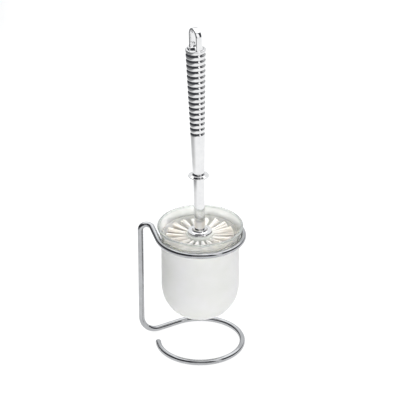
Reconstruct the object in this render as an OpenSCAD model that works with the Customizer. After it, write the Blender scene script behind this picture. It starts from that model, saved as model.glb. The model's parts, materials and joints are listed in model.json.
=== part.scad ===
// Free-standing toilet brush set: one bent rod makes the stand, a flared glass cup hangs in
// the rod's upper ring, and the brush stands in the cup, leaning a little.
// Millimetres. +Z is up. The origin is on the floor, on the axis that both rings share.
// The front of the object faces -Y, and the post stands at -X.

/* [Wire stand] */
// Diameter of the bent rod
rod_d = 6.4; // [5.4:0.1:6.8]
// Radius of both rings, to the middle of the rod
ring_r = 48; // [46:0.5:52]
// Height of the upper ring's middle above the floor
ring_z = 140.3; // [130:0.1:150]
// Angle of the base ring's free end, from +X towards +Y
base_end_angle = 184; // [180:1:200]
// Angle at which the base ring runs off to the post
base_exit_angle = 122; // [118:1:126]
// Plan length of the straight run from the base ring to the post
foot_run = 49; // [44:1:54]
// Radius of the bend at the foot of the post
foot_bend_r = 23; // [16:1:26]
// Rise of the post's top above the upper ring
post_rise = 5.4; // [3:0.1:8]
// Angle at which the upper run joins the upper ring
ring_join_angle = 198.2; // [196:0.1:200]
// Radius of the sideways bend beside the post's top
side_bend_r = 7; // [5:0.5:8]
// Angle at which the upper ring's free end stops, behind the cup
ring_end_angle = 140; // [90:1:160]

/* [Glass cup] */
// Gap between the straight part of the cup and the inside of the ring
ring_slack = 1.2; // [0.8:0.1:2]
// Thickness of the glass wall
glass_wall = 3; // [2.5:0.1:4]
// Thickness of the glass floor
glass_floor = 4.5; // [3:0.5:6]
// Height of the cup's underside above the floor
cup_z = 41; // [38:0.5:50]
// Height over which the rounded bottom grows into the straight wall
bowl_h = 38.4; // [30:0.2:45]
// Radius of the flat patch under the cup
foot_flat_r = 10; // [6:1:14]
// Radius of the outward sweep of the rim
flare_r = 48.3; // [48:0.1:50]
// How far the sweep turns outwards, in degrees
flare_turn = 24; // [18:1:28]
// How far below the ring's middle the sweep starts
flare_drop = 8.3; // [8:0.1:9]

/* [Brush handle] */
// Lean of the brush towards the post, in degrees
lean = 1.19; // [0:0.01:1.4]
// Radius of the grip where it meets the end cap
grip_top_r = 11.1; // [10:0.1:12]
// Radius of the grip's thin lower end
grip_low_r = 6.7; // [6.6:0.1:8]
// Height of the grip's lower end
grip_low_z = 216.6; // [214:0.1:220]
// Height of the joint between grip and end cap
grip_top_z = 363.6; // [355:0.1:370]
// Number of grooves turned into the grip
groove_count = 16; // [8:1:18]
// Distance between grooves
groove_pitch = 6.27; // [5.5:0.01:6.5]
// Radius of the tool that cuts a groove
groove_tool_r = 1.25; // [0.8:0.05:1.6]
// Diameter of the stem between the two collars
stem_d = 12.2; // [11.4:0.1:13]
// Diameter of the thin collar between grip and stem
mid_flange_d = 23; // [18:0.5:26]
// Diameter of the wide collar above the brush head
low_collar_d = 28; // [24:0.5:30]

/* [Hanging loop] */
// Outer width of the loop
loop_w = 19; // [16:0.5:20]
// Height of the loop above the end cap
loop_h = 23.7; // [18:0.1:26]
// Thickness of the loop's band
loop_t = 2.8; // [2:0.1:3.2]
// Width of the band, along the hole
loop_band = 6.4; // [4:0.2:8]
// Turn of the loop about the handle
loop_turn = -63; // [-180:1:180]

/* [Brush head] */
// Diameter of the moulded core
core_d = 30; // [28:0.5:31]
// Height of the core's top face
core_top_z = 144; // [143.8:0.1:144]
// Tufts in one full row
tufts_per_row = 18; // [12:1:18]
// Distance between rows
row_pitch = 9.3; // [9:0.1:9.6]
// Radius that the bristle tips reach
brush_r = 38; // [30:0.5:38]
// Radius of a tuft at its tips
tuft_tip_r = 5; // [3.5:0.1:5]
// Radius of a tuft where it leaves the core
tuft_neck_r = 1.85; // [1.5:0.05:2]

/* [Hidden] */
$fn = 64;

chrome = [0.80, 0.82, 0.84];
etched_glass = [0.88, 0.90, 0.88, 0.6];
white_plastic = [0.90, 0.91, 0.89];
bristle_white = [0.95, 0.94, 0.90];
zinc = [0.62, 0.64, 0.66];
brass = [0.78, 0.66, 0.38];

rod_r = rod_d / 2;
end_chamfer = 0.6;
band_l = 1;
band_proud = 0.05;
// A shape that cuts a hole runs this far past each face.
past = 1;

// Corners of the rod's route between its two rings, walked from the base ring to the upper one.
function polar(r, angle, z) = [r * cos(angle), r * sin(angle), z];
function heading(angle) = [-sin(angle), cos(angle), 0];
leave_base = polar(ring_r, base_exit_angle, rod_r);
post_foot = leave_base + foot_run * heading(base_exit_angle);
join_ring = polar(ring_r, ring_join_angle, ring_z);
upper_run = (post_foot.y - join_ring.y) / -heading(ring_join_angle).y;
post_top = [post_foot.x, post_foot.y, ring_z + post_rise];
side_corner = [join_ring.x - upper_run * heading(ring_join_angle).x, post_foot.y, post_top.z];
level_off = 1.5;
level_corner = join_ring - level_off * heading(ring_join_angle);
slope = atan(post_rise / (upper_run - level_off));
level_bend_r = level_off / tan(slope / 2);
side_turn = turn_at(post_top, side_corner, level_corner);
top_bend_r = norm(side_corner - post_top) - setback(side_bend_r, side_turn);
route = [leave_base, post_foot, post_top, side_corner, level_corner, join_ring];
route_r = [0, foot_bend_r, top_bend_r, side_bend_r, level_bend_r, 0];

function unit(v) = v / norm(v);
function turn_at(a, b, c) = acos(unit(b - a) * unit(c - b));
function setback(r, turn) = r * tan(turn / 2);
function corner_setback(i) =
    route_r[i] == 0 ? 0 : setback(route_r[i], turn_at(route[i - 1], route[i], route[i + 1]));

// Glass cup outline
cup_r = ring_r - rod_r - ring_slack;
flare_z = ring_z - flare_drop;
bowl_top_z = cup_z + bowl_h;
inside_z = cup_z + glass_floor;
arc_steps = 14;
lip_r = glass_wall / 2;
function bowl(r, z_low, t) =
    [foot_flat_r + (r - foot_flat_r) * sin(t), bowl_top_z - (bowl_top_z - z_low) * cos(t)];
function flare(radius, t) = [cup_r + flare_r - radius * cos(t), flare_z + radius * sin(t)];
function inside_r(z) = z >= bowl_top_z ? cup_r - glass_wall
    : foot_flat_r + (cup_r - glass_wall - foot_flat_r)
      * sqrt(1 - pow((bowl_top_z - z) / (bowl_top_z - inside_z), 2));

// Handle
lean_z = 146;
lean_x = -0.4;
cap_top_z = grip_top_z + 3.7;
cap_dish = 0.8;
cap_edge = 0.7;
cap_rim_w = 1.2;
cap_rim_fall = 0.1;
dish_edge = 1.9;
spigot_r = 7.9;
spigot_h = 12;
spigot_edge = 0.6;
groove_top_z = grip_top_z - 1.3;
grip_bore_r = 4.6;
stud_r = 3;
stud_reach = 14;
stud_gap = 1;
flange_t = 3;
flange_edge = 0.5;
flange_low_z = grip_low_z - flange_t;
stem_r = stem_d / 2;
stem_wall = 0.8;
stem_top_z = flange_low_z;
plug_r = stem_r - stem_wall;
plug_h = 16;
washer_t = 0.8;
collar_low_z = core_top_z + washer_t;
collar_rim_t = 1.9;
collar_edge = 0.7;
collar_boss_h = 2.9;
boss_wall = 1.3;
boss_sweep = 2.6;
stem_seat = 1.5;
stem_low_z = collar_low_z + collar_rim_t + collar_boss_h - stem_seat;
collar_bore_r = 4;
head_stud_r = 4;
head_stud_reach = 12;
stud_bore_spare = 2;
thread_play = 0.06;
function grip_r(z) =
    grip_low_r + (grip_top_r - grip_low_r) * (z - grip_low_z) / (grip_top_z - grip_low_z);

// Brush head
core_r = core_d / 2;
core_dome_z = 72;
top_row_z = core_top_z - 4.5;
level_rows = 7;
shoulder_row = [-15, 18, 33.5, 4.7];
dome_row = [-42, 12, 30, 4];
end_row = [-68, 6, 26, 3.2];
end_tuft_tip_r = 3;
wall_gap = 2;
end_tuft_reach = core_dome_z - inside_z - 0.8;
socket_r = 1.45;
socket_depth = 4;
end_socket_depth = 3;
root_lap = 0.5;
anchor_size = [0.5, 1, 2.6];
half_step = 180 / tufts_per_row;

// Draws a torus piece that starts at p, heads along h and bends towards n.
module bend(p, h, n, radius, turn) {
    side = cross(h, n);
    multmatrix([
        [n.x, side.x, h.x, p.x],
        [n.y, side.y, h.y, p.y],
        [n.z, side.z, h.z, p.z],
        [0, 0, 0, 1]
    ])
        translate([radius, 0, 0])
            rotate([90, 0, 0])
                rotate([0, 0, 180 - turn])
                    rotate_extrude(angle = turn)
                        translate([radius, 0])
                            circle(r = rod_r);
}

// Turns a child, drawn along +Z at the origin, to point along d from p.
module aim(p, d) {
    translate(p)
        rotate([0, acos(d.z / norm(d)), atan2(d.y, d.x)])
            children();
}

module straight(a, b) {
    aim(a, b - a)
        cylinder(h = norm(b - a), r = rod_r);
}

module ring(z, from_angle, to_angle) {
    translate([0, 0, z])
        rotate([0, 0, from_angle])
            rotate_extrude(angle = to_angle - from_angle)
                translate([ring_r, 0])
                    circle(r = rod_r);
}

// A band a hair thicker than the rod, over each place where the rod's curve changes. It makes
// the straights and bends overlap, so that they join as one solid.
module join_band(p, d) {
    aim(p, d)
        translate([0, 0, -band_l / 2])
            cylinder(h = band_l, r = rod_r + band_proud);
}

// A deburred end: the rod is carried on past its last point by a short cone.
module rod_end(p, d) {
    full_r = rod_r + band_proud;
    aim(p, d)
        rotate_extrude()
            polygon([
                [0, -band_l / 2], [full_r, -band_l / 2], [full_r, 0],
                [full_r - end_chamfer, end_chamfer], [0, end_chamfer]
            ]);
}

module wire_stand() {
    last = len(route) - 1;
    color(chrome) {
        ring(rod_r, base_end_angle, 360 + base_exit_angle);
        rod_end(polar(ring_r, base_end_angle, rod_r), -heading(base_end_angle));
        join_band(route[0], heading(base_exit_angle));
        for (i = [1 : last - 1]) {
            h = unit(route[i] - route[i - 1]);
            out = unit(route[i + 1] - route[i]);
            bend(route[i] - corner_setback(i) * h, h, unit(out - (out * h) * h),
                 route_r[i], turn_at(route[i - 1], route[i], route[i + 1]));
            join_band(route[i] - corner_setback(i) * h, h);
            join_band(route[i] + corner_setback(i) * out, out);
        }
        for (i = [0 : last - 1]) {
            along = unit(route[i + 1] - route[i]);
            a = route[i] + corner_setback(i) * along;
            b = route[i + 1] - corner_setback(i + 1) * along;
            if (norm(b - a) > band_l) straight(a, b);
        }
        join_band(route[last], heading(ring_join_angle));
        ring(ring_z, ring_join_angle, 360 + ring_end_angle);
        rod_end(polar(ring_r, ring_end_angle, ring_z), heading(ring_end_angle));
    }
}

module glass_cup() {
    lip = flare(flare_r + lip_r, flare_turn);
    outer_bowl = [for (i = [0 : arc_steps]) bowl(cup_r, cup_z, 90 * i / arc_steps)];
    outer_flare = [for (i = [0 : arc_steps]) flare(flare_r, flare_turn * i / arc_steps)];
    lip_arc = [for (i = [1 : 7])
        lip + lip_r * [cos(22.5 * i - flare_turn), sin(22.5 * i - flare_turn)]];
    inner_flare = [for (i = [arc_steps : -1 : 0])
        flare(flare_r + glass_wall, flare_turn * i / arc_steps)];
    inner_bowl = [for (i = [arc_steps : -1 : 0])
        bowl(cup_r - glass_wall, inside_z, 90 * i / arc_steps)];
    color(etched_glass)
        rotate_extrude($fn = 128)
            polygon(concat([[0, cup_z]], outer_bowl, outer_flare, lip_arc, inner_flare,
                           inner_bowl, [[0, inside_z]]));
}

// Carries a brush piece, drawn upright on the Z axis, into its leaning place.
module lean_brush() {
    translate([lean_x, 0, lean_z])
        rotate([0, -lean, 0])
            translate([0, 0, -lean_z])
                children();
}

module end_cap() {
    loop_r = loop_w / 2;
    leg_h = loop_h - loop_r + cap_dish;
    spigot_low_z = grip_top_z - spigot_h;
    color(chrome) lean_brush() {
        rotate_extrude()
            polygon([
                [0, spigot_low_z], [spigot_r - spigot_edge, spigot_low_z],
                [spigot_r, spigot_low_z + spigot_edge], [spigot_r, grip_top_z],
                [grip_top_r, grip_top_z], [grip_top_r, cap_top_z - cap_edge],
                [grip_top_r - cap_edge, cap_top_z],
                [grip_top_r - cap_rim_w, cap_top_z - cap_rim_fall],
                [grip_top_r - dish_edge, cap_top_z - cap_dish], [0, cap_top_z - cap_dish]
            ]);
        translate([0, 0, cap_top_z - cap_dish])
            rotate([90, 0, loop_turn])
                translate([0, 0, -loop_band / 2])
                    linear_extrude(loop_band)
                        difference() {
                            union() {
                                translate([0, leg_h]) circle(r = loop_r);
                                translate([-loop_r, 0]) square([loop_w, leg_h]);
                            }
                            translate([0, leg_h]) circle(r = loop_r - loop_t);
                            translate([-loop_r + loop_t, -past])
                                square([loop_w - 2 * loop_t, leg_h + past]);
                        }
    }
}

module grip() {
    color(chrome) lean_brush()
        difference() {
            translate([0, 0, grip_low_z])
                cylinder(h = grip_top_z - grip_low_z, r1 = grip_low_r, r2 = grip_top_r);
            for (i = [0 : groove_count - 1]) {
                z = groove_top_z - i * groove_pitch;
                translate([0, 0, z])
                    rotate_extrude()
                        translate([grip_r(z), 0]) circle(r = groove_tool_r, $fn = 32);
            }
            translate([0, 0, grip_top_z - spigot_h - stud_gap])
                cylinder(h = spigot_h + stud_gap + past, r = spigot_r);
            translate([0, 0, grip_low_z + stud_reach])
                cylinder(h = grip_top_z - grip_low_z - stud_reach - spigot_h, r = grip_bore_r);
            translate([0, 0, grip_low_z - past])
                cylinder(h = stud_reach + 2 * past, r = stud_r);
        }
}

module joiner_stud() {
    color(zinc) lean_brush()
        translate([0, 0, stem_top_z - plug_h + stud_gap])
            cylinder(h = plug_h + flange_t + stud_reach - 2 * stud_gap, r = stud_r);
}

module mid_flange() {
    flange_r = mid_flange_d / 2;
    mid = (flange_low_z + grip_low_z) / 2;
    color(chrome) lean_brush()
        rotate_extrude()
            polygon([
                [stud_r, flange_low_z], [stem_r, flange_low_z],
                [stem_r + flange_edge, flange_low_z + flange_edge],
                [flange_r - flange_edge, mid - 0.6], [flange_r, mid - 0.1],
                [flange_r, mid + 0.2], [flange_r - flange_edge, mid + 0.7],
                [grip_low_r, grip_low_z - flange_edge],
                [grip_low_r - 0.4, grip_low_z], [stud_r, grip_low_z]
            ]);
}

module stem_tube() {
    color(chrome) lean_brush()
        translate([0, 0, stem_low_z])
            difference() {
                cylinder(h = stem_top_z - stem_low_z, r = stem_r);
                translate([0, 0, -past])
                    cylinder(h = stem_top_z - stem_low_z + 2 * past, r = plug_r);
            }
}

module plug(z, bore) {
    color(white_plastic) lean_brush()
        translate([0, 0, z])
            difference() {
                cylinder(h = plug_h, r = plug_r);
                translate([0, 0, -past])
                    cylinder(h = plug_h + 2 * past, r = bore);
            }
}

module upper_plug() {
    plug(stem_top_z - plug_h, stud_r);
}

module lower_plug() {
    plug(stem_low_z, head_stud_r);
}

module head_stud() {
    color(zinc) lean_brush()
        translate([0, 0, core_top_z - head_stud_reach])
            cylinder(h = stem_low_z + plug_h - stud_gap - core_top_z + head_stud_reach,
                     r = head_stud_r);
}

module lower_collar() {
    rim_r = low_collar_d / 2;
    rim_z = collar_low_z + collar_rim_t;
    boss_r = stem_r + boss_wall;
    color(chrome) lean_brush()
        rotate_extrude()
            polygon(concat(
                [[collar_bore_r, collar_low_z], [rim_r - collar_edge, collar_low_z],
                 [rim_r, collar_low_z + collar_edge], [rim_r, rim_z - collar_edge],
                 [rim_r - collar_edge, rim_z]],
                [for (i = [0 : 6]) [
                    boss_r + boss_sweep - boss_sweep * sin(15 * i),
                    rim_z + collar_boss_h - collar_boss_h * cos(15 * i)]],
                [[stem_r, rim_z + collar_boss_h], [stem_r, stem_low_z],
                 [collar_bore_r, stem_low_z]]
            ));
}

module seal_washer() {
    color(white_plastic) lean_brush()
        translate([0, 0, core_top_z])
            difference() {
                cylinder(h = washer_t, r = low_collar_d / 2 - 1);
                translate([0, 0, -past])
                    cylinder(h = washer_t + 2 * past, r = head_stud_r + thread_play);
            }
}

// Places a child, drawn along +X, at each tuft of a row that points down by tilt degrees.
module around_row(z, tilt, count, first_angle) {
    for (i = [0 : count - 1])
        translate([0, 0, z])
            rotate([0, 0, first_angle + i * 360 / count])
                rotate([0, -tilt, 0])
                    children();
}

// Repeats a child at every tuft of the whole head. The two-child form gives the
// dome's shallower sockets a shape of their own.
module at_every_tuft() {
    for (row = [0 : level_rows - 1])
        around_row(top_row_z - row * row_pitch, 0, tufts_per_row, row % 2 * half_step)
            children(0);
    around_row(core_dome_z, shoulder_row[0], shoulder_row[1], half_step) children(0);
    around_row(core_dome_z, dome_row[0], dome_row[1], 0) children(1);
    around_row(core_dome_z, end_row[0], end_row[1], 0) children(1);
    around_row(core_dome_z, -90, 1, 0) children(1);
}

module socket(depth) {
    translate([core_r - depth, 0, 0])
        rotate([0, 90, 0])
            cylinder(h = depth + 3 * past, r = socket_r);
}

module anchor(depth) {
    translate([core_r - depth, -anchor_size.y / 2, -anchor_size.z / 2])
        cube(anchor_size);
}

module tuft(reach, tip_r, depth) {
    root = core_r - depth + anchor_size.x;
    translate([root, 0, 0])
        rotate([0, 90, 0])
            cylinder(h = core_r - root + root_lap, r = socket_r);
    translate([core_r, 0, 0])
        rotate([0, 90, 0])
            cylinder(h = reach - core_r, r1 = tuft_neck_r, r2 = tip_r);
}

module head_core() {
    color(white_plastic) lean_brush()
        difference() {
            union() {
                translate([0, 0, core_dome_z])
                    cylinder(h = core_top_z - core_dome_z, r = core_r);
                translate([0, 0, core_dome_z]) sphere(r = core_r);
            }
            translate([0, 0, core_top_z - head_stud_reach - stud_bore_spare])
                cylinder(h = head_stud_reach + stud_bore_spare + past, r = head_stud_r + thread_play);
            at_every_tuft() {
                socket(socket_depth);
                socket(end_socket_depth);
            }
        }
}

module tuft_anchors() {
    color(brass) lean_brush()
        at_every_tuft() {
            anchor(socket_depth);
            anchor(end_socket_depth);
        }
}

// Row 1 is the top one. Odd and even rows stand half a step apart.
module level_row(number) {
    z = top_row_z - (number - 1) * row_pitch;
    reach = min(brush_r, inside_r(z - tuft_tip_r) - wall_gap);
    color(bristle_white) lean_brush()
        around_row(z, 0, tufts_per_row, (number - 1) % 2 * half_step)
            tuft(reach, tuft_tip_r, socket_depth);
}

module tilted_row(row, first_angle, depth) {
    color(bristle_white) lean_brush()
        around_row(core_dome_z, row[0], row[1], first_angle)
            tuft(row[2], row[3], depth);
}

module end_tufts() {
    tilted_row(end_row, 0, end_socket_depth);
    color(bristle_white) lean_brush()
        around_row(core_dome_z, -90, 1, 0)
            tuft(end_tuft_reach, end_tuft_tip_r, end_socket_depth);
}

wire_stand();
glass_cup();
end_cap();
grip();
joiner_stud();
mid_flange();
stem_tube();
upper_plug();
lower_plug();
head_stud();
lower_collar();
seal_washer();
head_core();
tuft_anchors();
level_row(1);  // tuft_row_1
level_row(2);  // tuft_row_2
level_row(3);  // tuft_row_3
level_row(4);  // tuft_row_4
level_row(5);  // tuft_row_5
level_row(6);  // tuft_row_6
level_row(7);  // tuft_row_7
tilted_row(shoulder_row, half_step, socket_depth);  // tuft_row_8
tilted_row(dome_row, 0, end_socket_depth);  // tuft_row_9
end_tufts();
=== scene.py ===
# %% [markdown]
# # A toilet brush set: bent rod, etched glass, chrome handle, nylon bristle
#
# The set has three things that lift apart: a stand bent from one chromed steel rod, a glass cup
# that hangs in the stand's upper ring, and a brush that stands in the cup. The CAD model already
# fixes every size and joint. This lesson gives each part the surface that the eye expects.
#
# We start by loading the CAD parts. They arrive as objects that must not be moved or reshaped.
# Where a CAD part is too plain to be looked at closely, we model a finer piece in its place.

# %% Load the frame
import json
import math
import random

import bpy
import numpy as np
from mathutils import Matrix, Vector


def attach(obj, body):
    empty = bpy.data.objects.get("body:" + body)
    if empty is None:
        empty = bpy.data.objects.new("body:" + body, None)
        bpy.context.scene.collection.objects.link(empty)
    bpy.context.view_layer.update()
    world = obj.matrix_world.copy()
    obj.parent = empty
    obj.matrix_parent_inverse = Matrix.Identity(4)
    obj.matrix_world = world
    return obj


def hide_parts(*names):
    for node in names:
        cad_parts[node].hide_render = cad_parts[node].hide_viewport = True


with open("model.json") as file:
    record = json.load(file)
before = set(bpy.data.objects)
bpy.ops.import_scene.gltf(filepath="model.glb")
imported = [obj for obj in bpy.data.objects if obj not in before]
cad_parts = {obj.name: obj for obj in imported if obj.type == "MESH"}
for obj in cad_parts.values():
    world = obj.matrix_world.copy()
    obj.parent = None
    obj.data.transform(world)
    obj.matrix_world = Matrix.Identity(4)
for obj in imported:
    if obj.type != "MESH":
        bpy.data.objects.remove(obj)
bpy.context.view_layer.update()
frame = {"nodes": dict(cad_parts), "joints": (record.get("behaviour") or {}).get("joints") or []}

MM = 0.001
AXIS_Z = Vector((0, 0, 1))

# %% [markdown]
# ## Camera
#
# Product photographs of tall, thin things are shot with a long lens from well back, so that
# verticals stay nearly parallel. A 194 mm lens from 2.4 m, looking 28 degrees down, does that.

# %% Camera
CAMERA_LENS = 194.1
CAMERA_PITCH = 28
CAMERA_DISTANCE = 2.4
CAMERA_TARGET = Vector((1.37, 0, 183.84)) * MM

pitch = math.radians(CAMERA_PITCH)
camera_data = bpy.data.cameras.new("camera")
camera_data.lens = CAMERA_LENS
camera_data.clip_end = 50
camera = bpy.data.objects.new("camera", camera_data)
bpy.context.scene.collection.objects.link(camera)
camera.location = CAMERA_TARGET + CAMERA_DISTANCE * Vector((0, -math.cos(pitch), math.sin(pitch)))
camera.rotation_euler = (math.radians(90) - pitch, 0, 0)
bpy.context.scene.camera = camera
print("camera at", [round(v, 3) for v in camera.location])

# %% [markdown]
# ## Light
#
# Chrome has no look of its own: it shows what stands around it. So the studio is built for the
# chrome first. The floor is a lit table, which makes upright chrome white, because a camera that
# looks down sees the floor in it. Behind and overhead the room is bright. The walls in front and
# at both sides are dark grey, and that gives the dark lines in the grooves and along the rod.
# A tall soft box to the right of the camera draws the bright streak down the grip. The collars'
# tops mirror the handle's front, so a dim card behind the camera keeps them pale. Two fills are
# hidden from reflections, so that they lift the glass and leave the chrome's darks alone.

# %% Light and world
def hex_colour(text):
    """An sRGB hex colour such as "E8E4DA" as linear red, green, blue and alpha."""
    parts = [int(text[i:i + 2], 16) / 255 for i in (0, 2, 4)]
    linear = [p / 12.92 if p <= 0.04045 else ((p + 0.055) / 1.055) ** 2.4 for p in parts]
    return (*linear, 1.0)


def add_node(tree, kind, inputs=None, **settings):
    """Adds a shader node. An input that is a socket is linked, and any other is set."""
    made = tree.nodes.new(kind)
    for name, value in settings.items():
        setattr(made, name, value)
    for name, value in (inputs or {}).items():
        if isinstance(value, bpy.types.NodeSocket):
            tree.links.new(value, made.inputs[name])
        else:
            made.inputs[name].default_value = value
    return made


def soft_box(name, place, aim, width, height, power):
    """An area light at place, turned to shine at aim."""
    data = bpy.data.lights.new(name, "AREA")
    data.shape = "RECTANGLE"
    data.size = width
    data.size_y = height
    data.energy = power
    light = bpy.data.objects.new(name, data)
    bpy.context.scene.collection.objects.link(light)
    light.location = place
    light.rotation_euler = (Vector(aim) - Vector(place)).to_track_quat("-Z", "Y").to_euler()
    return light


BRIGHT_WAY = (0.1, 0.56, 0.82)
DARK_UNTIL = 0.48
BRIGHT_FROM = 0.72
ROOM_STRENGTH = 1.05
world = bpy.data.worlds.new("studio_room")
bpy.context.scene.world = world
world.use_nodes = True
world.node_tree.nodes.clear()
room = world.node_tree
sky_way = add_node(room, "ShaderNodeTexCoord").outputs["Generated"]
towards = add_node(room, "ShaderNodeVectorMath", {0: sky_way, 1: BRIGHT_WAY},
                   operation="DOT_PRODUCT").outputs["Value"]
room_ramp = add_node(room, "ShaderNodeValToRGB", {"Fac": towards})
room_ramp.color_ramp.elements[0].position = DARK_UNTIL
room_ramp.color_ramp.elements[0].color = hex_colour("44454A")
room_ramp.color_ramp.elements[1].position = BRIGHT_FROM
room_ramp.color_ramp.elements[1].color = hex_colour("FAFBFC")
sky = add_node(room, "ShaderNodeBackground",
               {"Color": room_ramp.outputs["Color"], "Strength": ROOM_STRENGTH})
add_node(room, "ShaderNodeOutputWorld", {"Surface": sky.outputs["Background"]})

OBJECT_MIDDLE = (0, 0, 0.2)
FILL_HEIGHT = 1.2
FILL_POWER = 38
soft_box("overhead_box", (0.2, 0.5, 2.4), OBJECT_MIDDLE, 3.6, 3.6, 31)
soft_box("right_box", (1.5, -1.45, 1.3), OBJECT_MIDDLE, 0.7, 2.2, 6)
soft_box("front_card", (0, -2.6, 1.58), OBJECT_MIDDLE, 2.0, 0.5, 2.6)
for name, place, width in (("front_fill", (0.1, -2.3, 0.7), 2.4),
                           ("top_fill", (0.1, 0.1, 2.1), 1.2)):
    fill = soft_box(name, place, OBJECT_MIDDLE, width, FILL_HEIGHT, FILL_POWER)
    fill.visible_glossy = False
bpy.context.scene.view_settings.view_transform = "Standard"

# %% [markdown]
# ## Helpers for modelling
#
# Most handle parts are turned on a lathe, so one helper does a lathe's work. It lays down a
# chain of points from the axis, or from a bore, outwards and back, and spins the chain once round.
# Spinning leaves doubled points on the seam and at the poles, and may turn the skin inside out,
# so both are mended.

# %% Helpers
def deselect():
    """Leaves edit mode and selects nothing."""
    if bpy.context.object and bpy.context.object.mode == "EDIT":
        bpy.ops.object.mode_set(mode="OBJECT")
    bpy.ops.object.select_all(action="DESELECT")


def only(piece):
    """Makes piece the one selected, active object."""
    deselect()
    piece.select_set(True)
    bpy.context.view_layer.objects.active = piece


def point_at(place, name):
    """A mesh of one selected point in edit mode, made by merging a plane."""
    deselect()
    bpy.ops.mesh.primitive_plane_add(size=MM, location=(0, 0, 0))
    piece = bpy.context.object
    piece.name = name
    bpy.ops.object.mode_set(mode="EDIT")
    bpy.ops.mesh.select_all(action="SELECT")
    bpy.ops.mesh.merge(type="CENTER")
    bpy.ops.transform.translate(value=place)
    return piece


def mend():
    """In edit mode: merges doubled points, fixes normals and leaves edit mode."""
    bpy.ops.mesh.select_all(action="SELECT")
    bpy.ops.mesh.remove_doubles(threshold=0.004 * MM)
    bpy.ops.mesh.normals_make_consistent(inside=False)
    bpy.ops.object.mode_set(mode="OBJECT")


def turned(name, outline, steps=96):
    """A lathe-turned closed piece about +Z. outline is (radius, height) in mm, bottom to top."""
    first = outline[0]
    piece = point_at((first[0] * MM, 0, first[1] * MM), name)
    for (r_from, z_from), (r_to, z_to) in zip(outline, outline[1:]):
        step = ((r_to - r_from) * MM, 0, (z_to - z_from) * MM)
        bpy.ops.mesh.extrude_region_move(TRANSFORM_OT_translate={"value": step})
    bpy.ops.mesh.select_all(action="SELECT")
    bpy.ops.mesh.spin(steps=steps, angle=math.tau, center=(0, 0, 0), axis=(0, 0, 1))
    mend()
    return piece


def arc(centre, radius, start, end, steps):
    """Points on an arc in an outline, with angles in degrees from the outward direction."""
    turns = [math.radians(start + (end - start) * i / steps) for i in range(steps + 1)]
    return [(centre[0] + radius * math.cos(a), centre[1] + radius * math.sin(a)) for a in turns]


def settle(piece, body, finish, stands_for=(), sharp=40, place=None):
    """Fixes a finished piece in place: transform applied, shaded, finished and riding."""
    only(piece)
    if place is not None:
        piece.matrix_world = place
    bpy.ops.object.transform_apply(location=True, rotation=True, scale=True)
    bpy.ops.object.shade_smooth_by_angle(angle=math.radians(sharp))
    piece.data.materials.clear()
    piece.data.materials.append(finish)
    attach(piece, body)
    if stands_for:
        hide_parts(*stands_for)
    print(piece.name, "has", len(piece.data.polygons), "faces")
    return piece


# The brush leans. Its pieces are modelled upright, and this matrix carries them over.
unscrew = next(j for j in frame["joints"] if j["name"] == "handle_unscrew")
LEAN_PIVOT = Vector(unscrew["pos_m"])
LEAN_AXIS = Vector(unscrew["axis"]).normalized()
LEAN = (Matrix.Translation(LEAN_PIVOT)
        @ AXIS_Z.rotation_difference(LEAN_AXIS).to_matrix().to_4x4()
        @ Matrix.Translation((0, 0, -LEAN_PIVOT.z)))
print("the brush leans", round(math.degrees(LEAN_AXIS.angle(AXIS_Z)), 2), "degrees")

# %% [markdown]
# ## Finishes
#
# Each finish starts from the real material: what it is, how it was made, and what that does to
# light. Base values come from the material, and patterns from its real grain, given in mm.

# %% Finishes: helpers
def new_finish(name):
    """An empty node material with its Principled shader, output and object coordinates."""
    finish = bpy.data.materials.new(name)
    finish.use_nodes = True
    finish.node_tree.nodes.clear()
    shader = add_node(finish.node_tree, "ShaderNodeBsdfPrincipled")
    add_node(finish.node_tree, "ShaderNodeOutputMaterial", {"Surface": shader.outputs["BSDF"]})
    where = add_node(finish.node_tree, "ShaderNodeTexCoord")
    return finish, finish.node_tree, shader, where.outputs["Object"]


def per_metre(size_mm):
    """The texture scale whose features are about size_mm across."""
    return 1000 / size_mm


def noise(tree, where, size_mm, detail=3.0, stretch=(1, 1, 1)):
    """A noise pattern with features of size_mm. stretch squeezes it along an axis."""
    mapped = add_node(tree, "ShaderNodeMapping", {"Vector": where, "Scale": stretch})
    return add_node(tree, "ShaderNodeTexNoise",
                    {"Vector": mapped.outputs["Vector"], "Scale": per_metre(size_mm),
                     "Detail": detail}).outputs["Fac"]


def ranged(tree, value, low, high):
    """Maps a pattern's 0.3 to 0.7 onto low to high."""
    return add_node(tree, "ShaderNodeMapRange",
                    {"Value": value, "From Min": 0.3, "From Max": 0.7,
                     "To Min": low, "To Max": high}).outputs["Result"]


def blend_colours(tree, share, first, second):
    """Mixes two hex colours, or sockets, by share. The colour sockets are found by number."""
    mix = add_node(tree, "ShaderNodeMix", {"Factor": share}, data_type="RGBA")
    for socket, colour in ((mix.inputs[6], first), (mix.inputs[7], second)):
        if isinstance(colour, str):
            socket.default_value = hex_colour(colour)
        else:
            tree.links.new(colour, socket)
    return mix.outputs[2]


def bumped(tree, shader, height, depth_mm, strength=1.0):
    """Raises the surface by a pattern, depth_mm high."""
    bump = add_node(tree, "ShaderNodeBump",
                    {"Height": height, "Distance": depth_mm * MM, "Strength": strength})
    tree.links.new(bump.outputs["Normal"], shader.inputs["Normal"])
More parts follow.
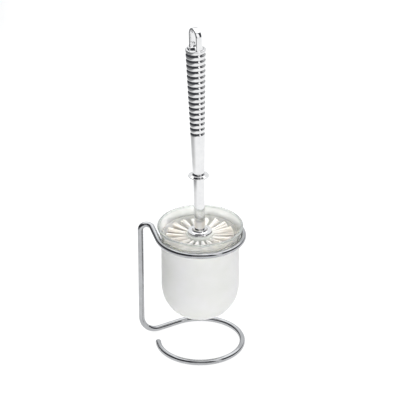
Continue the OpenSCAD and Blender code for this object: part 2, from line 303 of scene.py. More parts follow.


# %% [markdown]
# ### Chrome plating
#
# Bright chromium is plated over nickel on polished steel or zinc. It is a mirror with a slight
# blue cast. What keeps it from looking like a computer's mirror is the dulling that handling
# and hard water leave: soft smears a few mm across where the reflection blurs a little, and a
# very shallow waviness that polishing leaves. The rod's copy of the plating is painted darker
# than the handle's: painted shade that dims its reflections.

# %% Finishes: chrome
def chrome_plate(name, bright, dull, wave_mm, wave_strength):
    """Plated chrome. wave_mm is the length of the polishing waves."""
    finish, tree, shader, where = new_finish(name)
    shader.inputs["Metallic"].default_value = 1.0
    smear = noise(tree, where, 9, detail=4)
    spots = noise(tree, where, 1.6, detail=2)
    colour = blend_colours(tree, ranged(tree, smear, 0, 1), bright, dull)
    tree.links.new(colour, shader.inputs["Base Color"])
    tree.links.new(ranged(tree, smear, 0.03, 0.09), shader.inputs["Roughness"])
    waves = noise(tree, where, wave_mm, detail=1)
    both = add_node(tree, "ShaderNodeMath", {0: waves, 1: spots}, operation="ADD").outputs[0]
    bumped(tree, shader, both, 0.006, wave_strength)
    return finish


# The rod's chrome is a darker copy of the handle's: painted shade, so its reflections come out
# dimmer.
ROD_CHROME_PAINTED_DARKER = chrome_plate("chrome_rod_painted_darker", "B7B8BA", "A8A9AB", 7, 0.3)
HANDLE_CHROME = chrome_plate("chrome_plated_handle", "E5E5E5", "DCDCDD", 6, 0.12)

# %% [markdown]
# ### Satin-etched glass
#
# This is soda-lime glass dipped in acid. Light still goes through it, but scattered, so it glows
# like milk and only what touches it shows as a blur. In this shader about two thirds of the light
# wander a few mm under the surface, and one third goes through. Etching is never quite even,
# which leaves cloudy patches a few cm across. The lip is fire-polished after the dip, so the top
# 10 mm are clear. The lip itself looks a little grey-green, since light travels a long way inside
# the glass there.

# %% Finishes: glass
POLISHED_FROM = 143.2
LIP_FROM = 151.4
THROUGH_SATIN = 0.32
THROUGH_CLEAR = 0.72
CLEAR_ROUGHNESS = 0.14
WANDER = 4 * MM
ETCH_BUMP = 0.2


def etched_glass(name):
    """Satin glass with a clear top and a tinted lip."""
    finish, tree, shader, where = new_finish(name)
    cloud = noise(tree, where, 28, detail=2)
    grain = noise(tree, where, 0.5, detail=1)
    height = add_node(tree, "ShaderNodeSeparateXYZ", {"Vector": where}).outputs["Z"]
    polish = add_node(tree, "ShaderNodeMapRange",
                      {"Value": height, "From Min": (POLISHED_FROM - 0.5) * MM,
                       "From Max": (POLISHED_FROM + 0.5) * MM}).outputs["Result"]
    colour = blend_colours(tree, ranged(tree, cloud, 0, 1), "FAFAF7", "F0F1EC")
    lip_edge = add_node(tree, "ShaderNodeMapRange",
                        {"Value": height, "From Min": LIP_FROM * MM,
                         "From Max": (LIP_FROM + 1) * MM}).outputs["Result"]
    tree.links.new(blend_colours(tree, lip_edge, colour, "D8DDD9"), shader.inputs["Base Color"])
    satin = ranged(tree, cloud, 0.3, 0.38)
    # Inputs 2 and 3 of a Mix node are its two values, and input 0 is the share of the second.
    rough = add_node(tree, "ShaderNodeMix",
                     {0: polish, 2: satin, 3: CLEAR_ROUGHNESS}).outputs[0]
    tree.links.new(rough, shader.inputs["Roughness"])
    through = add_node(tree, "ShaderNodeMix",
                       {0: polish, 2: THROUGH_SATIN, 3: THROUGH_CLEAR}).outputs[0]
    tree.links.new(through, shader.inputs["Transmission Weight"])
    shader.inputs["IOR"].default_value = 1.5
    shader.inputs["Subsurface Weight"].default_value = 1.0
    shader.inputs["Subsurface Radius"].default_value = (1.0, 1.0, 0.95)
    shader.inputs["Subsurface Scale"].default_value = WANDER
    etch = add_node(tree, "ShaderNodeMapRange",
                    {"Value": polish, "To Min": ETCH_BUMP, "To Max": 0}).outputs["Result"]
    bumped(tree, shader, grain, 0.01, etch)
    return finish


ETCHED_GLASS = etched_glass("satin_etched_glass")

# %% [markdown]
# ### Nylon bristle
#
# Extruded nylon filament is a cloudy white. Light goes a little way in, so a bundle looks
# softer than paint. The tufts toward the left and right get painted shade, a darker cream in
# patches, and no two filaments have quite the same tone.

# %% Finishes: bristle
def nylon(name):
    """Cloudy white filament with painted shade: a darker cream away from the middle, to the left
    and right.
    """
    finish, tree, shader, where = new_finish(name)
    parts = add_node(tree, "ShaderNodeSeparateXYZ", {"Vector": where})
    side = add_node(tree, "ShaderNodeMath", {0: parts.outputs["X"]}, operation="ABSOLUTE")
    # Painted shade: tufts toward the left and right turn a darker cream, broken into patches.
    side_shade_share = add_node(tree, "ShaderNodeMapRange",
                        {"Value": side.outputs[0], "From Min": 0.008, "From Max": 0.026,
                         "To Min": 0, "To Max": 0.8}).outputs["Result"]
    patch = noise(tree, where, 12, detail=2)
    patchy_side_shade = add_node(tree, "ShaderNodeMath", {0: side_shade_share, 1: ranged(tree, patch, 0.4, 1.0)},
                    operation="MULTIPLY").outputs[0]
    base = blend_colours(tree, patchy_side_shade, "FBFAF7", "F5EDE2")
    strand = noise(tree, where, 0.6, detail=1)
    colour = blend_colours(tree, ranged(tree, strand, 0, 0.3), base, "D6D1C7")
    tree.links.new(colour, shader.inputs["Base Color"])
    tree.links.new(ranged(tree, strand, 0.3, 0.45), shader.inputs["Roughness"])
    shader.inputs["IOR"].default_value = 1.53
    shader.inputs["Subsurface Weight"].default_value = 0.15
    shader.inputs["Subsurface Radius"].default_value = (0.6 * MM, 0.5 * MM, 0.4 * MM)
    shader.inputs["Subsurface Scale"].default_value = 1.0
    return finish


NYLON = nylon("white_nylon_bristle")

# %% [markdown]
# ### Moulded polypropylene
#
# The head's core and the plugs are injection moulded. Polypropylene is waxy: a broad, soft
# sheen over a slightly pebbled skin that copies the spark-eroded mould. The washer is a whiter
# polyethylene with the same kind of skin.

# %% Finishes: plastic
def moulded_plastic(name, light, dark):
    """Waxy plastic that varies between two tones, with a pebbled skin."""
    finish, tree, shader, where = new_finish(name)
    shade = noise(tree, where, 14, detail=2)
    pebble = noise(tree, where, 0.7, detail=2)
    tree.links.new(blend_colours(tree, ranged(tree, shade, 0, 1), light, dark),
                   shader.inputs["Base Color"])
    tree.links.new(ranged(tree, pebble, 0.36, 0.48), shader.inputs["Roughness"])
    shader.inputs["IOR"].default_value = 1.49
    bumped(tree, shader, pebble, 0.02, 0.3)
    return finish


CORE_PLASTIC = moulded_plastic("white_polypropylene", "DCDEDA", "D0D3CF")
WASHER_PLASTIC = moulded_plastic("white_polyethylene_washer", "F4F4F2", "ECECEA")

# %% [markdown]
# ### Zinc plate and brass
#
# The studs are zinc-plated steel, greyer and duller than chrome, with the fine scratches of
# a thread die running round them. The anchors are brass strip, cut and left plain.

# %% Finishes: hidden metals
def plain_metal(name, light, dark, low_rough, high_rough, stretch):
    """Dull metal with fine scratches. stretch says how they run."""
    finish, tree, shader, where = new_finish(name)
    shader.inputs["Metallic"].default_value = 1.0
    bloom = noise(tree, where, 5, detail=3)
    lines = noise(tree, where, 1.5, detail=2, stretch=stretch)
    tree.links.new(blend_colours(tree, ranged(tree, bloom, 0, 1), light, dark),
                   shader.inputs["Base Color"])
    tree.links.new(ranged(tree, lines, low_rough, high_rough), shader.inputs["Roughness"])
    bumped(tree, shader, lines, 0.01, 0.4)
    return finish


ZINC = plain_metal("zinc_plated_steel", "B9BCBE", "9FA3A6", 0.28, 0.42, (1, 1, 12))
BRASS = plain_metal("plain_brass_strip", "C9A765", "B08E4C", 0.25, 0.4, (4, 4, 4))

# %% [markdown]
# ## The stand
#
# A wire bender makes the real stand from one straight rod: feed, bend, turn, feed, bend. Here
# a circle, the rod's cross-section, makes the same journey. Spin carries it round a bend, and
# extrude carries it along a straight, so the skin is one unbroken sheet with clean highlights.

# %% The rod's route
# Lengths are in mm. Angles are in degrees, anticlockwise from +X as seen from above.
ROD_R = 3.2
RING_R = 48
RING_Z = 140.3
BASE_END = 184
BASE_EXIT = 122
FOOT_RUN = 49
FOOT_BEND_R = 23
POST_RISE = 5.4
RING_JOIN = 198.2
SIDE_BEND_R = 7
RING_END = 140
LEVEL_OFF = 1.5
END_ROUND = 0.6
ROD_SIDES = 40


def on_ring(angle, height):
    """A point on a ring of the stand, in mm."""
    a = math.radians(angle)
    return Vector((RING_R * math.cos(a), RING_R * math.sin(a), height))


def ring_heading(angle):
    """The way that the rod runs at that angle, anticlockwise from above."""
    a = math.radians(angle)
    return Vector((-math.sin(a), math.cos(a), 0))


leave_base = on_ring(BASE_EXIT, ROD_R)
post_foot = leave_base + FOOT_RUN * ring_heading(BASE_EXIT)
join_ring = on_ring(RING_JOIN, RING_Z)
join_way = ring_heading(RING_JOIN)
upper_run = (post_foot.y - join_ring.y) / -join_way.y
post_top = Vector((post_foot.x, post_foot.y, RING_Z + POST_RISE))
side_corner = Vector((join_ring.x - upper_run * join_way.x, post_foot.y, post_top.z))
level_corner = join_ring - LEVEL_OFF * join_way
slope = math.atan(POST_RISE / (upper_run - LEVEL_OFF))
level_bend_r = LEVEL_OFF / math.tan(slope / 2)
side_turn = (side_corner - post_top).angle(level_corner - side_corner)
top_bend_r = (side_corner - post_top).length - SIDE_BEND_R * math.tan(side_turn / 2)
route = [leave_base, post_foot, post_top, side_corner, level_corner, join_ring]
corner_radii = [FOOT_BEND_R, top_bend_r, SIDE_BEND_R, level_bend_r]
print("top bend radius", round(top_bend_r, 2), "mm; slope", round(math.degrees(slope), 1))

# %% Bend the rod
RING_STEPS = 150
BEND_STEP = 5
FEWEST_STEPS = 6


def feed(step):
    """Extrudes the selected section by step, in mm."""
    bpy.ops.mesh.extrude_region_move(TRANSFORM_OT_translate={"value": step * MM})


def swing(centre, axis, angle, steps):
    """Spins the selected section anticlockwise about a centre in mm. Blender's goes clockwise."""
    bpy.ops.mesh.spin(steps=steps, angle=-angle, center=centre * MM, axis=axis)


def round_end(heading, middle, outwards):
    """Tapers the rod's end by END_ROUND, in three short steps on a quarter circle."""
    turns = [math.radians(a) for a in (0, 30, 60, 90)]
    if not outwards:
        turns.reverse()
    inset = ROD_R - END_ROUND
    radii = [inset + END_ROUND * math.cos(a) for a in turns]
    depths = [END_ROUND * math.sin(a) for a in turns]
    for i in range(3):
        move = heading * abs(depths[i + 1] - depths[i])
        feed(move)
        middle = middle + move
        scale = radii[i + 1] / radii[i]
        bpy.ops.transform.resize(value=(scale,) * 3, center_override=middle * MM)
    return middle


deselect()
start_way = ring_heading(BASE_END)
start = on_ring(BASE_END, ROD_R) - END_ROUND * start_way
bpy.ops.mesh.primitive_circle_add(
    vertices=ROD_SIDES, radius=(ROD_R - END_ROUND) * MM, fill_type="NGON", location=start * MM,
    rotation=AXIS_Z.rotation_difference(start_way).to_euler())
stand_rod = bpy.context.object
stand_rod.name = "stand_rod"
bpy.ops.object.transform_apply(location=True, rotation=True, scale=True)
bpy.ops.object.mode_set(mode="EDIT")
bpy.ops.mesh.select_all(action="SELECT")
round_end(start_way, start, outwards=False)
swing(Vector((0, 0, ROD_R)), AXIS_Z, math.radians(360 + BASE_EXIT - BASE_END), RING_STEPS)
here = leave_base
for before, corner, after, radius in zip(route, route[1:], route[2:], corner_radii):
    way_in = (corner - before).normalized()
    way_out = (after - corner).normalized()
    turn = way_in.angle(way_out)
    setback = radius * math.tan(turn / 2)
    run = corner - setback * way_in - here
    if run.length > 0.01:
        feed(run)
    axis = way_in.cross(way_out).normalized()
    centre = corner - setback * way_in + radius * axis.cross(way_in)
    swing(centre, axis, turn, max(FEWEST_STEPS, round(math.degrees(turn) / BEND_STEP)))
    here = corner + setback * way_out
swing(Vector((0, 0, RING_Z)), AXIS_Z, math.radians(360 + RING_END - RING_JOIN), RING_STEPS)
end_middle = round_end(ring_heading(RING_END), on_ring(RING_END, RING_Z), outwards=True)
bpy.ops.mesh.edge_face_add()
mend()
settle(stand_rod, "stand", ROD_CHROME_PAINTED_DARKER, ["wire_stand"], sharp=60)
print("the rod ends at", [round(v, 1) for v in end_middle])

# %% [markdown]
# ## The glass cup
#
# A blown and pressed cup is thick at the bottom and thins out to a fire-polished lip, which
# is fully round. The outline goes up the outside, over the lip and down the inside.

# %% Glass cup
GLASS_WALL = 3
GLASS_FLOOR = 4.5
CUP_R = 43.6
CUP_Z = 41
BOWL_H = 38.4
FOOT_FLAT_R = 10
FLARE_R = 48.3
FLARE_TURN = 24
FLARE_Z = 132
ARC_STEPS = 24
BOWL_TOP = CUP_Z + BOWL_H


def bowl(radius, low, t):
    """A point on the rounded bottom, from the flat foot at t 0 to the wall at t 1."""
    a = t * math.pi / 2
    return (FOOT_FLAT_R + (radius - FOOT_FLAT_R) * math.sin(a),
            BOWL_TOP - (BOWL_TOP - low) * math.cos(a))


def flare(radius, t):
    """A point on the rim's outward sweep, from the wall at t 0 to the lip at t 1."""
    a = math.radians(FLARE_TURN * t)
    return (CUP_R + FLARE_R - radius * math.cos(a), FLARE_Z + radius * math.sin(a))


shares = [i / ARC_STEPS for i in range(ARC_STEPS + 1)]
lip = flare(FLARE_R + GLASS_WALL / 2, 1)
outline = [(0, CUP_Z)] + [bowl(CUP_R, CUP_Z, t) for t in shares]
outline += [flare(FLARE_R, t) for t in shares]
outline += arc(lip, GLASS_WALL / 2, -FLARE_TURN, 180 - FLARE_TURN, 10)[1:-1]
outline += [flare(FLARE_R + GLASS_WALL, t) for t in reversed(shares)]
outline += [bowl(CUP_R - GLASS_WALL, CUP_Z + GLASS_FLOOR, t) for t in reversed(shares)]
outline += [(0, CUP_Z + GLASS_FLOOR)]
cup = turned("etched_cup", outline, steps=144)
settle(cup, "cup", ETCHED_GLASS, ["glass_cup"], sharp=60)

# %% [markdown]
# ## The grip
#
# The grip is a cast and plated cone. Sixteen V-shaped grooves are cut round it. One side of a
# groove tips up and the other down, so they mirror other parts of the room than the ribs do, and
# that draws the dark lines. The ribs between them have a slight crown, which polishing leaves.

# %% Grip
GRIP_TOP_R = 11.1
GRIP_LOW_R = 6.7
GRIP_LOW_Z = 216.6
GRIP_TOP_Z = 363.6
GROOVES = 16
GROOVE_PITCH = 6.27
GROOVE_TOP_Z = GRIP_TOP_Z - 1.3
GROOVE_DEPTH = 1.15
GROOVE_HALF = 1.45
RIB_CROWN = 0.12
RIB_STEPS = 18
LOW_GROOVE_Z = GROOVE_TOP_Z - (GROOVES - 1) * GROOVE_PITCH
PLAIN_HEIGHTS = (232, 246, 258)
EDGE = 0.5
SPIGOT_BORE_R = 7.9
SPIGOT_BORE_H = 12
HOLLOW_R = 4.6
STUD_BORE_R = 3.05
STUD_BORE_H = 14


def cone_r(z):
    """The grip's radius at a height, before grooves."""
    return GRIP_LOW_R + (GRIP_TOP_R - GRIP_LOW_R) * (z - GRIP_LOW_Z) / (GRIP_TOP_Z - GRIP_LOW_Z)


def ribbed_r(z):
    """The radius with a groove sunk or a rib crowned at that height."""
    ribs_up = (z - LOW_GROOVE_Z) / GROOVE_PITCH
    nearest = min(max(round(ribs_up), 0), GROOVES - 1)
    off = abs(ribs_up - nearest) * GROOVE_PITCH
    if off < GROOVE_HALF:
        return cone_r(z) - GROOVE_DEPTH * (1 - off / GROOVE_HALF) - RIB_CROWN
    rib_half = GROOVE_PITCH / 2 - GROOVE_HALF
    into = min((off - GROOVE_HALF) / rib_half, 1)
    return cone_r(z) - RIB_CROWN * (1 - into) ** 2


spigot_floor = GRIP_TOP_Z - SPIGOT_BORE_H
stud_bore_top = GRIP_LOW_Z + STUD_BORE_H
plain_top = LOW_GROOVE_Z - GROOVE_PITCH / 2
rib_heights = [plain_top + GROOVE_PITCH * i / RIB_STEPS
               for i in range(1, int((GRIP_TOP_Z - plain_top) / GROOVE_PITCH * RIB_STEPS))]
grip_outline = [(STUD_BORE_R, GRIP_LOW_Z)]
grip_outline += arc((GRIP_LOW_R - EDGE, GRIP_LOW_Z + EDGE), EDGE, -90, 0, 4)
grip_outline += [(cone_r(z), z) for z in (*PLAIN_HEIGHTS, plain_top)]
grip_outline += [(ribbed_r(z), z) for z in rib_heights]
grip_outline += [(cone_r(GRIP_TOP_Z) - 1.1, GRIP_TOP_Z), (SPIGOT_BORE_R, GRIP_TOP_Z)]
grip_outline += [(SPIGOT_BORE_R, spigot_floor), (HOLLOW_R, spigot_floor)]
grip_outline += [(HOLLOW_R, stud_bore_top), (STUD_BORE_R, stud_bore_top)]
grip_outline += [(STUD_BORE_R, GRIP_LOW_Z)]
grip = turned("ribbed_grip", grip_outline, steps=112)
settle(grip, "handle", HANDLE_CHROME, ["grip"], sharp=50, place=LEAN)

# %% [markdown]
# ## End cap and hanging loop
#
# The cap is cast in one piece with its loop. The disc and the spigot under it are turned, bottom
# to top: spigot, underside, outer edge, rim and dished middle. The loop is a strap: its
# cross-section is bevelled first, then fed up one leg, swung over the top and fed down the other.
# At the feet the strap widens into the disc, as a casting does where a thin part meets a thick one.

# %% End cap
CAP_TOP = GRIP_TOP_Z + 3.7
CAP_DISH = 0.8
CAP_GAP = 0.1
RIM_ROUND = 0.9
SPIGOT_R = 7.85
dish_z = CAP_TOP - CAP_DISH
cap_low = GRIP_TOP_Z + CAP_GAP
cap_outline = [(0, GRIP_TOP_Z - 11.5), (7.2, GRIP_TOP_Z - 11.5), (SPIGOT_R, GRIP_TOP_Z - 10.9)]
cap_outline += [(SPIGOT_R, cap_low), (10.5, cap_low)]
cap_outline += arc((GRIP_TOP_R - EDGE, cap_low + EDGE), EDGE, -90, 0, 5)
cap_outline += arc((GRIP_TOP_R - RIM_ROUND, CAP_TOP - RIM_ROUND), RIM_ROUND, 0, 90, 8)
cap_outline += arc((GRIP_TOP_R - 1.5, dish_z - 0.2), 0.98, 78, 150, 4)
cap_outline += [(8.4, dish_z), (0, dish_z)]
cap = turned("cap_disc", cap_outline)

LOOP_W = 19
LOOP_H = 23.7
LOOP_T = 2.8
LOOP_BAND = 6.4
LOOP_TURN = -63
LOOP_EDGE = 0.55
LEG_SINK = 0.3
leg_low = dish_z - LEG_SINK
loop_mid = (LOOP_W - LOOP_T) / 2
leg_top = CAP_TOP + LOOP_H - LOOP_W / 2
deselect()
bpy.ops.mesh.primitive_plane_add(size=MM, location=(0, 0, 0))
strap = bpy.context.object
strap.name = "loop_strap"
strap.dimensions = (LOOP_T * MM, LOOP_BAND * MM, 0)
strap.location = (-loop_mid * MM, 0, leg_low * MM)
bpy.ops.object.transform_apply(location=True, rotation=True, scale=True)
bpy.ops.object.mode_set(mode="EDIT")
bpy.ops.mesh.select_all(action="SELECT")
bpy.ops.mesh.bevel(offset=LOOP_EDGE * MM, segments=3, affect="VERTICES")
bpy.ops.mesh.select_all(action="SELECT")
# Each step of a leg's foot: its rise in mm, and how many times wider the strap is there in its
# thickness and in its width.
FOOT = ((0, 1.7, 1.3), (0.55, 1.42, 1.2), (0.5, 1.2, 1.1), (0.8, 1.08, 1.04), (1.1, 1, 1))
foot_rise = sum(rise for rise, _, _ in FOOT)


def reshape(before, after, middle):
    """Resizes the selected section from one step of FOOT to another."""
    factors = (after[1] / before[1], after[2] / before[2], 1)
    bpy.ops.transform.resize(value=factors, center_override=middle * MM)


foot = Vector((-loop_mid, 0, leg_low))
reshape((0, 1, 1), FOOT[0], foot)
for before, after in zip(FOOT, FOOT[1:]):
    feed(AXIS_Z * after[0])
    foot = foot + AXIS_Z * after[0]
    reshape(before, after, foot)
feed(AXIS_Z * (leg_top - foot.z))
swing(Vector((0, 0, leg_top)), (0, 1, 0), math.pi, 32)
foot = Vector((loop_mid, 0, leg_low + foot_rise))
feed(AXIS_Z * (foot.z - leg_top))
for before, after in zip(reversed(FOOT), reversed(FOOT[:-1])):
    feed(AXIS_Z * -before[0])
    foot = foot - AXIS_Z * before[0]
    reshape(before, after, foot)
mend()
strap.matrix_world = Matrix.Rotation(math.radians(LOOP_TURN), 4, "Z")
only(strap)
bpy.ops.object.transform_apply(location=True, rotation=True, scale=True)
only(cap)
strap.select_set(True)
bpy.ops.object.join()
cap.name = "end_cap_with_loop"
settle(cap, "handle", HANDLE_CHROME, ["end_cap"], sharp=45, place=LEAN)

# %% [markdown]
# ## Collars and stem
#
# The thin collar hides the joint between grip and stem. The wide one spreads the load where the
# stem meets the head. Both are turned, with edges thin enough to catch a line of light. Each
# outline goes along the underside, round the edge, back over the top and down the bore. The stem
# itself is drawn tube.

# %% Collars and stem
STEM_R = 6.1
FLANGE_R = 11.5
FLANGE_LOW = GRIP_LOW_Z - 3
flange_mid = (FLANGE_LOW + GRIP_LOW_Z) / 2
flange_outline = [(STUD_BORE_R, FLANGE_LOW), (STEM_R, FLANGE_LOW)]
flange_outline += [(STEM_R + 0.45, FLANGE_LOW + 0.35)]
flange_outline += [(STEM_R + 1.2, FLANGE_LOW + 0.62), (STEM_R + 1.5, FLANGE_LOW + 0.68)]
flange_outline += [(FLANGE_R - 1.5, flange_mid - 0.6), (FLANGE_R - 0.75, flange_mid - 0.55)]
flange_outline += arc((FLANGE_R - EDGE, flange_mid), EDGE, -70, 70, 8)
flange_outline += [(FLANGE_R - 0.75, flange_mid + 0.44), (FLANGE_R - 1.5, flange_mid + 0.53)]
flange_outline += [(GRIP_LOW_R + 1.0, flange_mid + 0.82), (GRIP_LOW_R + 0.5, flange_mid + 0.95)]
flange_outline += [(GRIP_LOW_R + 0.2, GRIP_LOW_Z - 0.38), (GRIP_LOW_R - 0.1, GRIP_LOW_Z - 0.05)]
flange_outline += [(STUD_BORE_R, GRIP_LOW_Z - 0.05), (STUD_BORE_R, FLANGE_LOW)]
flange = turned("joint_collar", flange_outline)
settle(flange, "handle", HANDLE_CHROME, ["mid_flange"], sharp=35, place=LEAN)

CORE_TOP = 144
COLLAR_R = 14
COLLAR_LOW = CORE_TOP + 0.8
COLLAR_RIM_T = 1.9
BOSS_H = 2.9
BOSS_WALL = 1.3
BOSS_SWEEP = 2.6
STEM_SEAT = 1.5
STEM_BORE_R = STEM_R - 0.8
STEM_ROUND = 0.3
STEM_GAP = 0.02
STEM_RINGS = (172, 196)
rim_top = COLLAR_LOW + COLLAR_RIM_T
boss_top = rim_top + BOSS_H
stem_low = boss_top - STEM_SEAT
stem_top = FLANGE_LOW - STEM_GAP
stem_outline = [(STEM_BORE_R, stem_low)] + [(STEM_R, z) for z in (stem_low, *STEM_RINGS)]
stem_outline += arc((STEM_R - STEM_ROUND, stem_top - STEM_ROUND), STEM_ROUND, 0, 90, 4)
stem_outline += [(STEM_BORE_R, stem_top), (STEM_BORE_R, stem_low)]
stem = turned("drawn_stem", stem_outline)
settle(stem, "handle", HANDLE_CHROME, ["stem_tube"], sharp=50, place=LEAN)

COLLAR_BORE_R = 4.0
collar_outline = [(COLLAR_BORE_R, COLLAR_LOW)]
collar_outline += arc((COLLAR_R - 0.6, COLLAR_LOW + 0.6), 0.6, -90, 20, 6)
collar_outline += arc((COLLAR_R - 0.95, rim_top - 0.3), 0.3, 30, 90, 4)
collar_outline += [(COLLAR_R - 1.4, rim_top - 0.12), (COLLAR_R - 2.2, rim_top)]
for degrees in range(0, 91, 10):
    a = math.radians(degrees)
    collar_outline.append((STEM_R + BOSS_WALL + BOSS_SWEEP - BOSS_SWEEP * math.sin(a),
                           boss_top - BOSS_H * math.cos(a)))
collar_outline += [(STEM_R + STEM_GAP, boss_top), (STEM_R + STEM_GAP, stem_low)]
collar_outline += [(COLLAR_BORE_R, stem_low), (COLLAR_BORE_R, COLLAR_LOW)]
collar = turned("head_collar", collar_outline)
settle(collar, "handle", HANDLE_CHROME, ["lower_collar"], sharp=35, place=LEAN)

# %% [markdown]
# ## The screw
#
# When the handle is unscrewed its stud comes into view, so it gets a real thread. One tooth's
# outline climbs by its own pitch each turn: that is what the Screw modifier does. Bisect then
# cuts both ends square and closes them.

# %% Threaded stud
STUD_R = 3.98
THREAD_DEPTH = 0.85
THREAD_PITCH = 1.5
STUD_LOW = CORE_TOP - 12
STUD_HIGH = stem_low + 15
TOOTH = ((THREAD_DEPTH, 0.6), (0, 0.2), (-THREAD_DEPTH, 0.6), (0, 0.1))
SPARE_TURNS = 3
stud_turns = int((STUD_HIGH - STUD_LOW) / THREAD_PITCH) + SPARE_TURNS
thread_start = STUD_LOW - SPARE_TURNS / 2 * THREAD_PITCH
stud = point_at(((STUD_R - THREAD_DEPTH) * MM, 0, thread_start * MM), "threaded_stud")
for out, up in TOOTH:
    feed(Vector((out, 0, up)))
bpy.ops.object.mode_set(mode="OBJECT")
screw = stud.modifiers.new("thread", "SCREW")
screw.screw_offset = THREAD_PITCH * MM
screw.iterations = stud_turns
screw.steps = 32
screw.render_steps = 32
screw.use_merge_vertices = True
screw.merge_threshold = 0.01 * MM
bpy.ops.object.modifier_apply(modifier="thread")
bpy.ops.object.mode_set(mode="EDIT")
for height, lower in ((STUD_LOW, True), (STUD_HIGH, False)):
    bpy.ops.mesh.select_all(action="SELECT")
    bpy.ops.mesh.bisect(plane_co=(0, 0, height * MM), plane_no=(0, 0, 1), use_fill=True,
                        clear_inner=lower, clear_outer=not lower)
mend()
settle(stud, "handle", ZINC, ["head_stud"], sharp=30, place=LEAN)

# %% [markdown]
# ## Bristles
#
# A tuft is a bundle of filaments folded in half and held in a hole by a metal strip. The
# filaments leave the hole close together and fan out all the way to their tips. One filament is
# modelled and copied into a bundle. Each row has three different bundles, which take turns round
# the core, each turned at random about its own axis, so that none looks like its neighbour. The
# real filament is about 0.3 mm thick, which is too fine to show, so it is drawn at 0.5 mm and
# there are fewer of them.

# %% One filament
FILAMENT_D = 0.5
CORE_R = 15
CUTS = (0.3, 0.65)
deselect()
bpy.ops.mesh.primitive_cylinder_add(vertices=3, radius=FILAMENT_D / 2 * MM, depth=MM,
                                    location=(0, 0, 0.5 * MM), end_fill_type="NGON")
filament = bpy.context.object
filament.name = "filament"
bpy.ops.object.transform_apply(location=True, rotation=True, scale=True)
bpy.ops.object.mode_set(mode="EDIT")
for cut in CUTS:
    bpy.ops.mesh.select_all(action="SELECT")
    bpy.ops.mesh.bisect(plane_co=(0, 0, cut * MM), plane_no=(0, 0, 1))
mend()
strand_points = np.array([v.co for v in filament.data.vertices]) / MM
strand_faces = [list(f.vertices) for f in filament.data.polygons]
print("a filament has", len(strand_faces), "faces")

# %% Bundles and rows
TUFT_STRANDS = 84
TUFTS_ROUND = 18
ROW_PITCH = 9.3
TOP_ROW_Z = CORE_TOP - 4.5
DOME_Z = 72
SOCKET_R = 1.35
ROOT_DEPTH = 1.2
TIP_SPARE = 0.5
STRAY = 0.35
FAN_VARIES = (0.86, 1.04)
LENGTH_VARIES = (0.955, 1.0)
BOW_VARIES = (0.85, 1.15)
LEVEL_ROWS = 7
BRUSH_R = 38
LEVEL_TIP_R = 4.4
dice = random.Random(7)


def bundle(reach, tip_r, strands):
    """Points and faces of one tuft along +X from the core's skin, in mm."""
    points, faces = [], []
    for _ in range(strands):
        spread = math.sqrt(dice.random())
        around = dice.uniform(0, math.tau)
        root = Vector((0, math.cos(around), math.sin(around))) * spread * SOCKET_R
        fan = (tip_r - TIP_SPARE) / SOCKET_R * dice.uniform(*FAN_VARIES)
        stray = Vector((0, dice.gauss(0, STRAY), dice.gauss(0, STRAY)))
        length = (reach - CORE_R + ROOT_DEPTH) * dice.uniform(*LENGTH_VARIES)
        bow = dice.uniform(*BOW_VARIES)
        roll = dice.uniform(0, math.tau)
        base = len(points)
        for x, y, t in strand_points:
            side = root * (1 + (fan - 1) * t ** bow) + stray * t * t
            rolled_x = x * math.cos(roll) - y * math.sin(roll)
            rolled_y = x * math.sin(roll) + y * math.cos(roll)
            points.append((CORE_R - ROOT_DEPTH + t * length, side.y + rolled_x, side.z + rolled_y))
        faces += [[base + i for i in face] for face in strand_faces]
    return np.array(points), faces


def bristle_row(name, node, z, tilt, count, first, reach, tip_r):
    """One row of tufts round the core, pointing tilt degrees down, as a single piece."""
    kinds = [bundle(reach, tip_r, TUFT_STRANDS) for _ in range(3)]
    points, faces = [], []
    total = 0
    for i in range(count):
        bunch, bunch_faces = kinds[i % 3]
        spin = (Matrix.Rotation(math.radians(first + i * 360 / count), 4, "Z")
                @ Matrix.Rotation(math.radians(tilt), 4, "Y")
                @ Matrix.Rotation(dice.uniform(0, math.tau), 4, "X"))
        placed = bunch @ np.array(spin.to_3x3()).T + np.array((0, 0, z))
        points.append(placed)
        faces += [[total + v for v in face] for face in bunch_faces]
        total += len(bunch)
    mesh = bpy.data.meshes.new(name)
    mesh.from_pydata((np.vstack(points) * MM).tolist(), [], faces)
    row = bpy.data.objects.new(name, mesh)
    bpy.context.scene.collection.objects.link(row)
    return settle(row, "head", NYLON, [node], sharp=70, place=LEAN)


half_step = 180 / TUFTS_ROUND
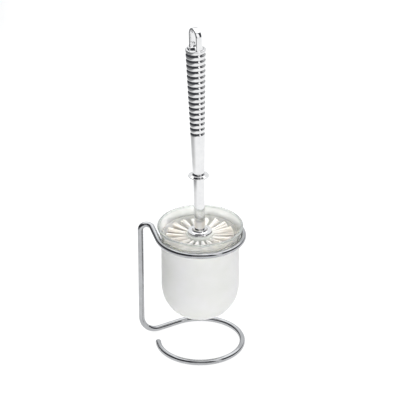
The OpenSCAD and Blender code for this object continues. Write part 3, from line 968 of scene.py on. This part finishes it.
# Name, CAD node, tilt, number of tufts, first angle, reach and tip radius of each tilted row.
DOME_ROWS = (
    ("bristle_row_8", "tuft_row_8", 15, 18, half_step, 33.5, 4.7),
    ("bristle_row_9", "tuft_row_9", 42, 12, 0, 30, 4),
    ("bristle_end_ring", "end_tufts", 68, 6, 0, 26, 3.2),
    ("bristle_end_tip", "end_tufts", 90, 1, 0, 25.7, 3),
)
for number in range(LEVEL_ROWS):
    bristle_row(f"bristle_row_{number + 1}", f"tuft_row_{number + 1}",
                TOP_ROW_Z - number * ROW_PITCH, 0, TUFTS_ROUND, number % 2 * half_step,
                BRUSH_R, LEVEL_TIP_R)
for name, node, tilt, count, first, reach, tip_r in DOME_ROWS:
    bristle_row(name, node, DOME_Z, tilt, count, first, reach, tip_r)
bpy.data.objects.remove(filament)

# %% [markdown]
# ## CAD parts that stay
#
# The core, the washer, the plugs, the joiner and the tufts' anchors already have the right
# shape. They only need their finish.

# %% Finish the CAD parts that stay
KEPT = {
    "head_core": CORE_PLASTIC,
    "seal_washer": WASHER_PLASTIC,
    "upper_plug": CORE_PLASTIC,
    "lower_plug": CORE_PLASTIC,
    "joiner_stud": ZINC,
    "tuft_anchors": BRASS,
}
for name, finish in KEPT.items():
    part = frame["nodes"][name]
    part.data.materials.clear()
    part.data.materials.append(finish)
print("kept", len(KEPT), "CAD parts")

# %% [markdown]
# ## Floor
#
# The floor is a light table: a sheet of opal acrylic lit from underneath, which swallows
# shadows. It is part of the light too, because upright chrome mirrors it. The lamps stop short of
# the table's left end, and the chrome's left edges come out grey for that reason. The table is
# wide enough to fill the background when the parts are lifted and the camera looks from lower down.

# %% Floor
FLOOR_R = 7
TABLE_GLOW = 0.93
UNLIT_GLOW = 0.08
UNLIT_X = -0.62
LIT_X = -0.2
deselect()
bpy.ops.mesh.primitive_circle_add(vertices=64, radius=FLOOR_R, fill_type="NGON",
                                  location=(0, 0, 0))
floor = bpy.context.object
floor.name = "light_table"
opal, tree, shader, where = new_finish("opal_acrylic")
haze = noise(tree, where, 60, detail=2)
tree.links.new(blend_colours(tree, ranged(tree, haze, 0, 1), "626364", "5E5F60"),
               shader.inputs["Base Color"])
shader.inputs["Roughness"].default_value = 0.9
shader.inputs["Specular IOR Level"].default_value = 0.1
across = add_node(tree, "ShaderNodeSeparateXYZ", {"Vector": where}).outputs["X"]
lit = add_node(tree, "ShaderNodeMapRange",
               {"Value": across, "From Min": UNLIT_X, "From Max": LIT_X,
                "To Min": UNLIT_GLOW, "To Max": TABLE_GLOW},
               interpolation_type="SMOOTHSTEP").outputs["Result"]
shader.inputs["Emission Color"].default_value = (1, 1, 1, 1)
tree.links.new(lit, shader.inputs["Emission Strength"])
floor.data.materials.append(opal)
